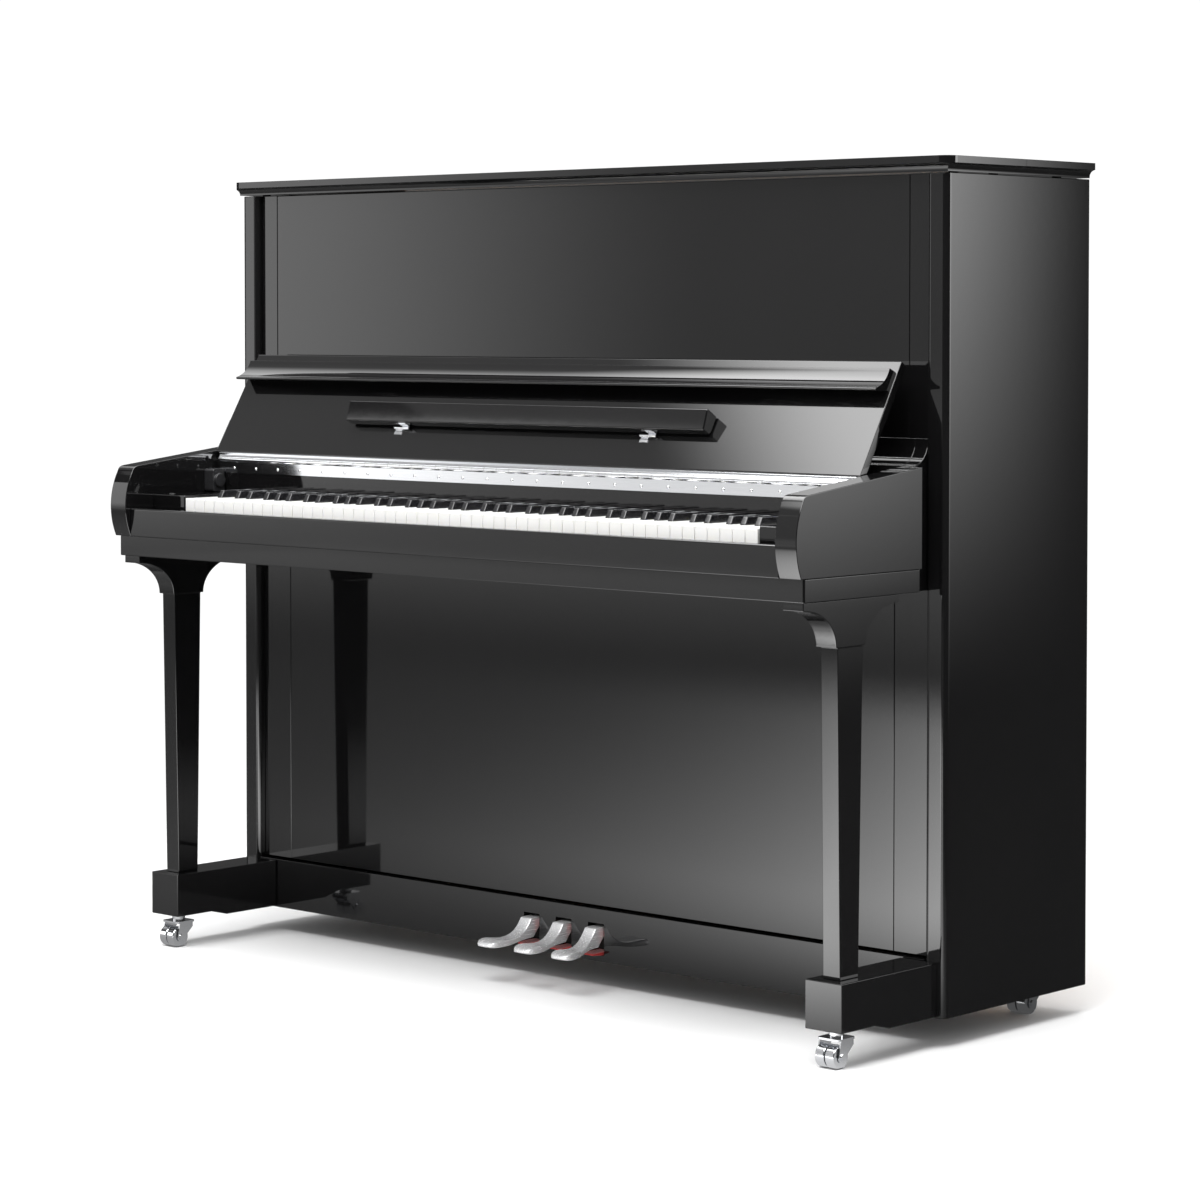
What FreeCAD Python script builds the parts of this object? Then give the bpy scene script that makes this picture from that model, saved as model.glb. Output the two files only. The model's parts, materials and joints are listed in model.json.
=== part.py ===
import FreeCAD, Part
import math
import os

# Upright piano, millimetres, +Z up. X runs along the keyboard (bass at -X), -Y faces the player.
# The origin is on the floor, below the middle of the overall box.

# ---------------------------------------------------------------- overall
overall_width = 1535.0
overall_depth = 674.0
overall_height = 1293.0
case_depth = 359.0
case_bottom = 44.0
gap = 0.5

front = -overall_depth / 2
back = overall_depth / 2
case_front = back - case_depth

# ---------------------------------------------------------------- case
lid_overhang = 12.5
lid_nose = 12.8
lid_back_inset = 3.5
lid_thickness = 22.5
lid_band = 10.5
lid_cove = 10.0
lid_corner = 20.0
lid_split = 177.5
lid_pad_height = 1.5
lid_pad_radius = 7.0
lid_pad_inset = 40.0
rear_pad_inset = 60.0
side_thickness = 38.0
side_edge_radius = 9.0
panel_thickness = 20.0
upper_recess = 12.0
lower_recess = 14.5
upper_stile = 38.0
lower_stile = 66.0
plinth_recess = 2.0
plinth_height = 82.5
plinth_thickness = 25.0
plinth_gap = 2.5
floor_board_bottom = 54.6
floor_board_thickness = 20.0

half_case = overall_width / 2 - lid_overhang
half_inner = half_case - side_thickness
lid_bottom = overall_height - lid_thickness
side_top = lid_bottom - lid_pad_height
plinth_top = case_bottom + plinth_height

# ---------------------------------------------------------------- back frame and soundboard
frame_depth = 90.0
frame_inset = 4.0
post_count = 5
post_width = 58.0
beam_height = 66.0
soundboard_thickness = 9.0
rib_depth = 18.0
rib_width = 22.0
rib_count = 9
rib_angle = 38.0
bridge_width = 30.0
board_edge_gap = 18.0
board_lap = 10.0
rib_end_gap = 5.0
# Share of the board's half width and of its height, at the start, the middle and the end of a bridge.
bass_bridge_line = [(-0.62, 0.1), (-0.42, 0.14), (-0.22, 0.24)]
treble_bridge_line = [(-0.42, 0.26), (0.2, 0.406), (0.8, 0.78)]
plate_depth = 40.0
plate_border = 0.06 * overall_height
strut_width = 22.0
strut_depth = 12.0
strut_pitch = 140.0
string_gap = 4.0
pin_radius = 3.4
pin_length = 20.0

frame_back = back - frame_inset
frame_face = frame_back - frame_depth
rib_back = frame_face
board_back = rib_back - rib_depth
board_face = board_back - soundboard_thickness
plate_back = board_face - 18.0
plate_face = plate_back - plate_depth
string_y = plate_face - string_gap
strut_face = plate_face - pin_length - 2.0 - strut_depth
inside_bottom = floor_board_bottom + beam_height
inside_top = side_top - 16.0

# ---------------------------------------------------------------- keyboard
key_top = 762.0
key_pitch = 23.6
white_count = 52
key_gap = 1.0
key_setback = 60.6
key_height = 22.0
key_tail = 70.0
balance_setback = 234.0
black_width = 10.4
black_top_width = 9.0
black_rise = 12.0
black_start = 50.4
black_slope = 7.0
black_clearance = 1.2
middle_c = 23

half_keys = white_count * key_pitch / 2
key_front = front + key_setback
key_bottom = key_top - key_height
key_back = case_front + key_tail
balance_y = key_front + balance_setback

# ---------------------------------------------------------------- keybed, arms and slip
keybed_bottom = 664.6
keybed_thickness = 33.4
keybed_setback = 19.0
keybed_back_gap = 30.7
arm_inset = 22.5
arm_thickness = 38.7
arm_back_gap = 21.0
arm_bulge = 11.0
arm_nose_fall = 15.0
arm_shoulder = 30.0
arm_top_front = 815.0
arm_top_back = 885.0
cove_radius = 40.0
cove_reach = 8.0
slip_setback = 10.0
slip_thickness = 20.0
slip_height = 46.5
moulding_thickness = 14.0
fit = 0.8
block_rise = 4.0
block_pad_inset = 6.0
block_pad_radius = 5.0
block_pad_height = 2.5

keybed_top = keybed_bottom + keybed_thickness
half_arm = half_case - arm_inset
half_well = half_arm - arm_thickness
half_keybed = half_arm - 1.3

# ---------------------------------------------------------------- nameboard and fallboard
hinge_reach = 119.0
hinge_rise = 59.2
knuckle_radius = 4.5
knuckle_length = 27.0
leaf_thickness = 1.2
leaf_height = 18.0
hinge_pin = 1.5
hinge_end_gap = 6.0
hinge_flat_back = 6.0
hinge_flat_front = 4.0
end_plate_start = 6.0
end_plate_end = 62.0
end_plate_thickness = 1.4
end_plate_width = 10.0
end_screw_radius = 2.4
end_screw_height = 0.8
leaf_screw_radius = 3.2
leaf_screw_sink = 1.4
running = 0.05
board_thickness = 13.5
board_start = 11.0
board_face_offset = 6.6
board_end_gap = 3.8
lean_gap = 16.0
lip_start = 64.0
lip_end = 20.0
lip_depth = 28.0
lip_front_depth = 14.5
lip_hollow = 5.0
lip_bead = 4.5
lip_quirk = 1.2
lip_undercut = 14.0
lip_top_splay = 2.0
shelf_half = 385.0
shelf_low = 68.0
shelf_high = 101.0
shelf_low_depth = 19.5
shelf_high_depth = 27.5
shelf_back_gap = 1.5
shelf_heel = 5.0
shelf_knuckle = 3.0
shelf_leaf = 16.0
shelf_leaf_reach = 10.5
shelf_hinge_gap = 3.5
shelf_hinge_share = 0.69
shelf_pin = 1.0
nameboard_depth = 29.5
nameboard_rise = 3.0
damper_width = 22.0
damper_depth = 26.0
damper_gap = 2.0
damper_drop = 16.0
damper_corner = 5.0
damper_drum = 5.0

hinge_y = case_front - hinge_reach
hinge_z = key_top + hinge_rise
board_length = hinge_y - front + 5.0
lean = math.asin((hinge_reach - lean_gap) / board_length)
half_fallboard = half_well - board_end_gap
nameboard_face = hinge_y + knuckle_radius
nameboard_bottom = key_top + nameboard_rise
nameboard_top = hinge_z - knuckle_radius - 0.2

# ---------------------------------------------------------------- legs and toe blocks
capital_inset = 29.6
capital_thickness = 37.4
capital_front = 24.6
capital_length = 216.7
capital_band = 12.2
capital_height = 68.0
shaft_inset = 31.8
shaft_thickness = 30.6
shaft_front = 104.4
shaft_top = 57.6
shaft_bottom = 42.2
shaft_taper = 6.7
neck_front = 98.8
neck_length = 65.7
toe_inset = 14.2
toe_thickness = 66.0
toe_setback = 92.6
toe_top = 125.2
toe_bottom = 54.6
toe_heel = 46.0
toe_flat = 76.4
toe_ramp = 34.0

# ---------------------------------------------------------------- casters
wheel_radius = 17.0
wheel_width = 16.0
wheel_gap = 2.0
wheel_hub = 6.0
axle_radius = 3.0
caster_trail = 11.0
fork_plate = 40.0
fork_wall = 2.0
fork_rise = 9.0
fork_roof = 3.0
collar_radius = 10.8
stem_radius = 5.0
stem_length = 28.0
front_caster_inset = 47.4
front_caster_setback = 30.5
rear_caster_inset = 75.0
rear_caster_gap = 50.0

fork_top = 2 * wheel_radius + fork_rise

# ---------------------------------------------------------------- pedals
pedal_pitch = 70.0
pedal_splay = 10.0
pedal_reach = 97.5
pedal_width = 24.5
pedal_pivot = 60.0
pedal_pivot_z = 91.0
pedal_pin = 4.0
pedal_tail = 55.0
pedal_tail_top = 98.5
pedal_tail_low = 83.5
pedal_slot_clearance = 5.0
pedal_slot_bottom = 53.5
pedal_slot_top = 103.5
pedal_cheek = 4.0
pedal_cheek_depth = 20.0
pedal_felt_reach = 19.0
pedal_felt_thickness = 5.0
side_felt_thickness = 2.0
side_felt_low = 72.0
side_felt_high = 94.0
rod_radius = 6.0
rod_gap = 0.7
rod_setback = 8.0
rod_top_gap = 20.0

# Distance behind the tip and height, along the top and back along the underside of a pedal.
pedal_top_line = [(0.0, 64.0), (5.0, 69.0), (17.0, 72.0), (32.0, 69.5), (46.0, 70.5),
                  (59.0, 76.0), (68.0, 82.0), (74.0, 90.0), (79.0, 96.5)]
pedal_low_line = [(80.0, 66.5), (60.0, 65.0), (40.0, 61.0), (20.0, 59.0), (6.0, 59.5), (0.0, 62.0)]
# Distance behind the tip, half width, and share of the splay.
pedal_plan = [(0.0, 13.0, 1.0), (4.0, 18.5, 1.0), (14.0, 20.5, 0.95), (30.0, 18.5, 0.72),
              (50.0, 14.0, 0.35), (66.0, 12.25, 0.1), (80.0, 12.25, 0.0)]

# ---------------------------------------------------------------- action
hammer_count = 88
hammer_pitch = half_keys * 2 / hammer_count
hammer_note_c = 39
butt_offset = 76.0
action_room = side_top - key_top
butt_z = key_top + 0.38 * action_room
shank_length = 0.26 * action_room
shank_radius = 3.2
butt_width = 8.0
butt_depth = 24.0
butt_below = 12.0
butt_above = 18.0
head_length = 56.0
head_height = 30.0
head_width = 9.0
head_point = 16.0
bracket_overhang = 30.0
bracket_thickness = 8.0
bracket_front = 30.0
bracket_rear = 38.0
bracket_foot = 130.0
bracket_head = 90.0
rest_rail_low = 0.455 * shank_length
rest_rail_high = 0.645 * shank_length
rest_rail_back = 5.0
rest_rail_front = 20.0
main_rail_front = 19.0
main_rail_low = 14.0
main_rail_high = 10.0
action_y = string_y - butt_offset


# ---------------------------------------------------------------- small helpers
def vec(x, y, z):
    return FreeCAD.Vector(x, y, z)


def box(x0, x1, y0, y1, z0, z1):
    """A block between two corners."""
    return Part.makeBox(x1 - x0, y1 - y0, z1 - z0, vec(x0, y0, z0))


def rod(radius, start, end):
    """A round bar from one point to another."""
    run = vec(*end) - vec(*start)
    return Part.makeCylinder(radius, run.Length, vec(*start), run)


def slab(points, x0, x1):
    """A closed outline in the YZ plane, carried from x0 to x1."""
    path = [vec(x0, y, z) for y, z in points]
    face = Part.Face(Part.makePolygon(path + path[:1]))
    return face.extrude(vec(x1 - x0, 0, 0))


def curved_slab(edges, x0, x1):
    """Like slab, with lines (two points), arcs (three) and Bezier curves (four) as its edges."""
    made = []
    for points in edges:
        path = [vec(x0, y, z) for y, z in points]
        if len(path) == 2:
            made.append(Part.makeLine(*path))
        elif len(path) == 3:
            made.append(Part.Arc(*path).toShape())
        else:
            curve = Part.BezierCurve()
            curve.setPoles(path)
            made.append(curve.toShape())
    face = Part.Face(Part.Wire(made))
    return face.extrude(vec(x1 - x0, 0, 0))


def mirrored(shape):
    """The same piece at the other end of the piano."""
    return shape.mirror(vec(0, 0, 0), vec(1, 0, 0))


def both(shape):
    return [shape, mirrored(shape)]


def joined(shapes):
    """Several solids glued into one."""
    whole = shapes[0].multiFuse(shapes[1:])
    return whole.removeSplitter()


def save(node, shapes):
    """One STEP file for each node; a list is written as separate solids."""
    whole = Part.makeCompound(shapes) if isinstance(shapes, list) else shapes
    whole.exportStep("parts/" + node + ".step")


def edges_along(shape, direction, test):
    """The straight edges parallel to a direction whose middle passes a test."""
    found = []
    for edge in shape.Edges:
        if edge.Curve.TypeId != "Part::GeomLine":
            continue
        run = edge.Vertexes[-1].Point - edge.Vertexes[0].Point
        if run.Length > 0 and abs(run.normalize().dot(direction)) > 0.999 and test(edge.CenterOfMass):
            found.append(edge)
    return found


def on_board(s, n):
    """A point of the open fallboard: s up its slope from the hinge pin, n out from it."""
    y = hinge_y + s * math.sin(lean) - n * math.cos(lean)
    z = hinge_z + s * math.cos(lean) + n * math.sin(lean)
    return y, z


# ---------------------------------------------------------------- case
def side_panel():
    panel = box(half_inner, half_case, case_front, back, case_bottom, side_top)
    uprights = edges_along(panel, vec(0, 0, 1), lambda p: p.y < case_front + 1)
    return panel.makeFillet(side_edge_radius, uprights)


def back_frame():
    """Posts between a top and a bottom beam; the bottom beam takes the rear casters' stems."""
    half = half_inner - gap
    bottom = box(-half, half, frame_face, frame_back, floor_board_bottom, inside_bottom)
    for hole in both(caster_bore(*rear_caster())):
        bottom = bottom.cut(hole)
    top = box(-half, half, frame_face, frame_back, inside_top - beam_height, inside_top)
    pieces = [bottom, top]
    spacing = (2 * half - post_width) / (post_count - 1)
    for index in range(post_count):
        x = -half + index * spacing
        pieces.append(box(x, x + post_width, frame_face, frame_back,
                          inside_bottom, inside_top - beam_height))
    return pieces


def bottom_board():
    y0 = case_front + plinth_recess + plinth_thickness
    half = half_inner - gap
    top = floor_board_bottom + floor_board_thickness
    return box(-half, half, y0, frame_face, floor_board_bottom, top)


def plinth_rail():
    """The rail across the bottom, with one slot for each pedal."""
    half = half_inner - gap
    y0 = case_front + plinth_recess
    rail = box(-half, half, y0, y0 + plinth_thickness, case_bottom, plinth_top)
    slot_half = pedal_width / 2 + pedal_slot_clearance
    for x in pedal_places():
        slot = box(x - slot_half, x + slot_half, y0 - 1, y0 + plinth_thickness + 1,
                   pedal_slot_bottom, pedal_slot_top)
        rail = rail.cut(slot)
    return rail


def case_stiles():
    """Narrow uprights beside the two front panels, flush with them."""
    edge = half_inner - gap
    low = box(half_inner - lower_stile, edge, case_front + lower_recess,
              case_front + lower_recess + panel_thickness, plinth_top + plinth_gap, keybed_bottom)
    high = box(half_inner - upper_stile, edge, case_front + upper_recess,
               case_front + upper_recess + panel_thickness, arm_top_back, side_top)
    return both(low) + both(high)


def upper_panel():
    half = half_inner - upper_stile - gap
    y0 = case_front + upper_recess
    return box(-half, half, y0, y0 + panel_thickness, arm_top_back, side_top - gap)


def lower_panel():
    """Drops on the plinth and leans in under the keybed."""
    half = half_inner - lower_stile - gap
    y0 = case_front + lower_recess
    return box(-half, half, y0, y0 + panel_thickness, plinth_top + plinth_gap, keybed_bottom - 2.6)


def lid_edges(shape, y0, y1, front_edge):
    """Cuts the hollow moulding along the ends, and the front where asked."""
    half = overall_width / 2
    band = overall_height - lid_band
    depth = lid_cove
    rise = band - lid_bottom
    end = [vec(half, y0 - 1, band), vec(half - depth, y0 - 1, lid_bottom)]
    middle = vec(half - depth * 0.78, y0 - 1, band - rise * 0.34)
    arc = Part.Arc(end[0], middle, end[1]).toShape()
    outline = Part.Wire([arc, Part.makeLine(end[1], vec(half + 1, y0 - 1, lid_bottom)),
                         Part.makeLine(vec(half + 1, y0 - 1, lid_bottom), vec(half + 1, y0 - 1, band)),
                         Part.makeLine(vec(half + 1, y0 - 1, band), end[0])])
    cutter = Part.Face(outline).extrude(vec(0, y1 - y0 + 2, 0))
    for piece in both(cutter):
        shape = shape.cut(piece)
    if front_edge:
        low = (y0 + depth, lid_bottom)
        nose = curved_slab([[(y0, band), (y0 + depth * 0.78, band - rise * 0.34), low],
                            [low, (y0 - 1, lid_bottom)],
                            [(y0 - 1, lid_bottom), (y0 - 1, band)],
                            [(y0 - 1, band), (y0, band)]], -half - 2, half + 2)
        shape = shape.cut(nose)
    return shape


def lid_front():
    """The flap that folds back; its two front corners are rounded."""
    half = overall_width / 2
    y0 = case_front - lid_nose
    y1 = case_front + lid_split - gap / 2
    flap = box(-half, half, y0, y1, lid_bottom, overall_height)
    corners = edges_along(flap, vec(0, 0, 1), lambda p: p.y < y0 + 1)
    flap = flap.makeFillet(lid_corner, corners)
    flap = lid_edges(flap, y0, y1, True)
    return flap.cut(lid_hinge_bed())


def lid_rear():
    half = overall_width / 2
    y0 = case_front + lid_split + gap / 2
    y1 = back - lid_back_inset
    leaf = box(-half, half, y0, y1, lid_bottom, overall_height)
    leaf = lid_edges(leaf, y0, y1, False)
    return leaf.cut(lid_hinge_bed())


def bumpers():
    """Rubber pads under the lid, and two on the key blocks that the closed fallboard lands on."""
    pads = []
    x = half_case - side_thickness / 2
    for y in (case_front + lid_pad_inset, case_front + lid_split - lid_pad_inset, back - rear_pad_inset):
        pads += both(rod(lid_pad_radius, (x, y, side_top), (x, y, lid_bottom)))
    x = (half_keys + half_well) / 2
    y = key_front + block_pad_inset
    pads += both(rod(block_pad_radius, (x, y, key_block_top()),
                     (x, y, key_block_top() + block_pad_height)))
    return pads


# ---------------------------------------------------------------- hinges
def knuckles(x0, x1, y, z, radius, length, odd):
    """Every second knuckle of a long hinge: the even set carries the pin, the odd set turns on it."""
    count = int((x1 - x0) // (2 * length)) * 2
    start = (x0 + x1 - count * length) / 2
    made = []
    for index in range(count):
        if index % 2 == odd:
            a = start + index * length + 0.25
            made.append(rod(radius, (a, y, z), (a + length - gap, y, z)))
    return made, start, start + count * length


def lid_hinge_bed():
    """The groove that the lid's hinge lies in."""
    half = overall_width / 2 - 30
    y = case_front + lid_split
    groove = rod(3.4, (-half - 1, y, overall_height), (half + 1, y, overall_height))
    leaf = box(-half - 1, half + 1, y - 14.5, y + 14.5, overall_height - leaf_thickness - 0.05,
               overall_height + 1)
    return groove.fuse(leaf)


def long_hinge_half(x0, x1, y, z, radius, length, odd, leaf):
    """One leaf with its knuckles; the even one also carries the pin."""
    made, start, end = knuckles(x0, x1, y, z, radius, length, odd)
    notches, start, end = knuckles(x0, x1, y, z, radius + 0.4, length, 1 - odd)
    plate = leaf.cut(Part.makeCompound([wide(piece) for piece in notches]))
    whole = joined([plate] + made)
    if odd:
        return whole.cut(rod(hinge_pin + running, (start - 1, y, z), (end + 1, y, z)))
    return joined([whole, rod(hinge_pin, (start, y, z), (end, y, z))])


def wide(piece):
    """A knuckle's cutter, a little longer than the knuckle."""
    bounds = piece.BoundBox
    grown = rod(bounds.ZLength / 2, (bounds.XMin - 0.25, bounds.Center.y, bounds.Center.z),
                (bounds.XMax + 0.25, bounds.Center.y, bounds.Center.z))
    return grown


def lid_hinge(odd):
    """Continuous hinge along the split of the lid: the odd half turns with the flap."""
    half = overall_width / 2 - 30
    y = case_front + lid_split
    side = -1 if odd else 1
    low = overall_height - leaf_thickness
    inner, outer = sorted((y + side * 0.3, y + side * 14))
    leaf = box(-half, half, inner, outer, low, overall_height)
    return long_hinge_half(-half, half, y, overall_height, 2.6, 36.0, odd, leaf)


def fallboard_hinge_fixed():
    """The leaf screwed to the nameboard below the fallboard, with its round-head screws."""
    half = half_fallboard - 6
    low = nameboard_top - leaf_height
    leaf = box(-half, half, nameboard_face - leaf_thickness, nameboard_face, low, hinge_z)
    return long_hinge_half(-half, half, hinge_y, hinge_z, knuckle_radius, knuckle_length, 0, leaf)


def fallboard_hinge_moving():
    """The leaf under the fallboard's lower edge, and the steel plate on its bass end."""
    half = half_fallboard - hinge_end_gap
    edge = board_start - leaf_thickness
    web_back, web_front = -leaf_thickness, leaf_thickness / 2
    flat = slab([on_board(edge, -hinge_flat_back), on_board(edge, hinge_flat_front),
                 on_board(board_start, hinge_flat_front), on_board(board_start, -hinge_flat_back)],
                -half, half)
    web = slab([on_board(0, web_back), on_board(0, web_front), on_board(edge + gap, web_front),
                on_board(edge + gap, web_back)], -half, half)
    leaf = joined([flat, web])
    turning = long_hinge_half(-half, half, hinge_y, hinge_z, knuckle_radius, knuckle_length, 1, leaf)
    low, high = board_start + end_plate_start, board_start + end_plate_end
    outer = board_face_offset - 1.0
    inner = outer - end_plate_width
    x1 = -half_fallboard
    x0 = x1 - end_plate_thickness
    plate = slab([on_board(low, inner), on_board(low, outer), on_board(high, outer),
                  on_board(high, inner)], x0, x1)
    heads = []
    for s in (low + end_plate_width, (low + high) / 2, high - end_plate_width):
        y, z = on_board(s, (inner + outer) / 2)
        heads.append(rod(end_screw_radius, (x0 - end_screw_height, y, z), (x0, y, z)))
    return [turning, joined([plate] + heads)]


def hinge_screws():
    """Round-head screws through the fixed leaf, one to each pair of knuckles."""
    heads = []
    pitch = 2 * knuckle_length
    count = int((half_fallboard - pitch / 2) // pitch)
    z = nameboard_top - leaf_height * 0.55
    y = nameboard_face - leaf_thickness
    r = leaf_screw_radius
    for index in range(-count, count + 1):
        x = index * pitch
        head = Part.makeSphere(r, vec(x, y + leaf_screw_sink, z))
        heads.append(head.common(box(x - r, x + r, y - r, y, z - r, z + r)))
    return heads


# ---------------------------------------------------------------- fallboard
def fallboard():
    """The hinged cover over the keys, standing open against the upper panel."""
    face = board_face_offset
    low = face - board_thickness
    outline = [on_board(board_start, low), on_board(board_start, face),
               on_board(board_length, face), on_board(board_length, low)]
    board = slab(outline, -half_fallboard, half_fallboard)
    return board.makeFillet(2.0, edges_along(board, vec(1, 0, 0), lambda p: p.z > hinge_z + 100))


def fallboard_lip():
    """A hollow moulding with a bead on its edge; it hangs down over the keys when closed."""
    face = board_face_offset
    s0 = board_length - lip_start
    s1 = board_length - lip_end
    edge = on_board(s0, face + lip_depth)
    bead_top = on_board(s0 + lip_bead, face + lip_depth)
    hollow_low = on_board(s0 + lip_bead, face + lip_depth - lip_quirk)
    hollow_high = on_board(s1, face + lip_front_depth)
    middle = on_board((s0 + lip_bead + s1) / 2, face + (lip_depth + lip_front_depth) / 2 - lip_hollow)
    root_high = on_board(s1 + lip_top_splay, face)
    root_low = on_board(s0 + lip_undercut, face)
    return curved_slab([[root_low, edge], [edge, bead_top], [bead_top, hollow_low],
                        [hollow_low, middle, hollow_high], [hollow_high, root_high],
                        [root_high, root_low]], -half_fallboard, half_fallboard)


def music_shelf():
    """The ledge for sheet music, folded up on the inside of the fallboard."""
    face = board_face_offset
    inner = face + shelf_back_gap
    outline = [on_board(shelf_low, face + shelf_heel), on_board(shelf_low, face + shelf_low_depth),
               on_board(shelf_high, face + shelf_high_depth), on_board(shelf_high, inner),
               on_board(shelf_low + shelf_heel, inner)]
    shelf = slab(outline, -shelf_half, shelf_half)
    top_edges = edges_along(shelf, vec(1, 0, 0), lambda p: p.z > on_board(shelf_high, 0)[1] - 1)
    return shelf.makeFillet(2.5, top_edges)


def shelf_axis():
    """The pin of the music shelf's hinges, just under its lower edge."""
    return on_board(shelf_low - shelf_hinge_gap, board_face_offset + shelf_knuckle)


def shelf_hinges():
    """Two small hinges under the shelf: the fixed leaves lie on the fallboard."""
    y, z = shelf_axis()
    face = board_face_offset
    low = shelf_low - shelf_hinge_gap - shelf_leaf_reach
    high = shelf_low - shelf_hinge_gap + shelf_pin / 2
    fixed = []
    for x in shelf_hinge_places():
        x0, x1 = x - shelf_leaf, x - gap
        barrel = rod(shelf_knuckle - 0.2, (x0, y, z), (x1, y, z))
        leaf = slab([on_board(low, face), on_board(low, face + 1.0),
                     on_board(high, face + 1.0), on_board(high, face)], x0, x1)
        pin = rod(shelf_pin, (x0, y, z), (x + shelf_leaf, y, z))
        fixed.append(joined([barrel, leaf, pin]))
    return fixed


def shelf_knuckles():
    """The shelf's own half of its two hinges, fixed to its lower edge."""
    y, z = shelf_axis()
    low, high = board_face_offset + shelf_knuckle, board_face_offset + 0.8 * shelf_low_depth
    made = []
    for x in shelf_hinge_places():
        x1 = x + shelf_leaf
        barrel = rod(shelf_knuckle - 0.2, (x, y, z), (x1, y, z))
        tab = slab([on_board(shelf_low - 1.2, low), on_board(shelf_low - 1.2, high),
                    on_board(shelf_low, high), on_board(shelf_low, low)], x, x1)
        whole = joined([barrel, tab])
        made.append(whole.cut(rod(shelf_pin + running, (x - 1, y, z), (x1 + 1, y, z))))
    return made


def shelf_hinge_places():
    return [-shelf_half * shelf_hinge_share, shelf_half * shelf_hinge_share]


def nameboard_strip():
    """The rail behind the keys that carries the fallboard's hinge."""
    y1 = nameboard_face + nameboard_depth
    return box(-half_well, half_well, nameboard_face, y1, nameboard_bottom, nameboard_top)


def cove_rail():
    """Fills the space behind the fallboard, up to the foot of the upper panel in a hollow curve."""
    y0 = nameboard_face + nameboard_depth
    low = nameboard_top - 16
    y1 = case_front + upper_recess + panel_thickness
    start, middle, end = cove_arc()
    return curved_slab([[(y0, low), (y0, nameboard_top)], [(y0, nameboard_top), start],
                        [start, middle, end], [end, (y1, arm_top_back)],
                        [(y1, arm_top_back), (y1, low)], [(y1, low), (y0, low)]],
                       -half_well, half_well)


def cove_arc():
    """Quarter hollow that ends the arms' top line at the case; tangent to that line."""
    cy = case_front + cove_reach - cove_radius
    cz = arm_top_back
    ay = front + arm_shoulder
    dy, dz = cy - ay, cz - arm_top_front
    slope = math.atan2(dz, dy) - math.asin(cove_radius / math.hypot(dy, dz))
    start = (cy + cove_radius * math.sin(slope), cz - cove_radius * math.cos(slope))
    mid = (slope + math.pi / 2) / 2
    middle = (cy + cove_radius * math.sin(mid), cz - cove_radius * math.cos(mid))
    return start, middle, (cy + cove_radius, cz)


def soft_close_damper():
    """Oil damper that slows the fallboard, screwed inside the bass arm."""
    x0 = -half_well
    x1 = x0 + damper_width
    y1 = nameboard_face - damper_gap
    y0 = y1 - damper_depth
    z0 = key_block_top() + 1
    z1 = hinge_z - damper_drop
    case = box(x0, x1, y0, y1, z0, z1)
    case = case.makeFillet(damper_corner, edges_along(case, vec(1, 0, 0), lambda p: True))
    y, z = (y0 + y1) / 2, (z0 + z1) / 2
    drum = rod(damper_depth / 2 - damper_gap, (x1, y, z), (x1 + damper_drum, y, z))
    return joined([case, drum])


# ---------------------------------------------------------------- keybed and arms
def key_block_top():
    return key_top + block_rise


def keybed():
    """The shelf that everything of the keyboard stands on."""
    half_wide = half_keybed - moulding_thickness
    y0 = front + keybed_setback + moulding_thickness
    wide_part = box(-half_wide, half_wide, y0, case_front - keybed_back_gap, keybed_bottom, keybed_top)
    narrow = half_inner - gap
    rear = box(-narrow, narrow, case_front - keybed_back_gap, key_back + 30, keybed_bottom, keybed_top)
    return joined([wide_part, rear])


def keybed_moulding():
    """A lipping round the front and the two ends of the keybed."""
    y0 = front + keybed_setback
    y1 = case_front - keybed_back_gap
    whole = box(-half_keybed, half_keybed, y0, y1, keybed_bottom, keybed_top)
    inner = half_keybed - moulding_thickness
    band = whole.cut(box(-inner, inner, y0 + moulding_thickness, y1 + 1,
                         keybed_bottom - 1, keybed_top + 1))
    uprights = edges_along(band, vec(0, 0, 1), lambda p: p.y < y0 + 1)
    return band.makeFillet(3.0, uprights)


def key_slip():
    """The low rail in front of the keys, with a rounded top."""
    y0 = front + slip_setback
    half = half_well - fit
    slip = box(-half, half, y0, y0 + slip_thickness, keybed_top, keybed_top + slip_height)
    return slip.makeFillet(3.0, edges_along(slip, vec(1, 0, 0), lambda p: p.z > keybed_top + 1))


def key_blocks():
    """The two blocks that fill in between the last keys and the arms."""
    y1 = nameboard_face - fit
    block = box(half_keys + fit * 3, half_well - fit, key_front, y1, keybed_top, key_block_top())
    block = block.makeFillet(2.0, edges_along(block, vec(1, 0, 0), lambda p: p.y < key_front + 1
                                              and p.z > keybed_top + 1))
    return both(block)


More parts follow.
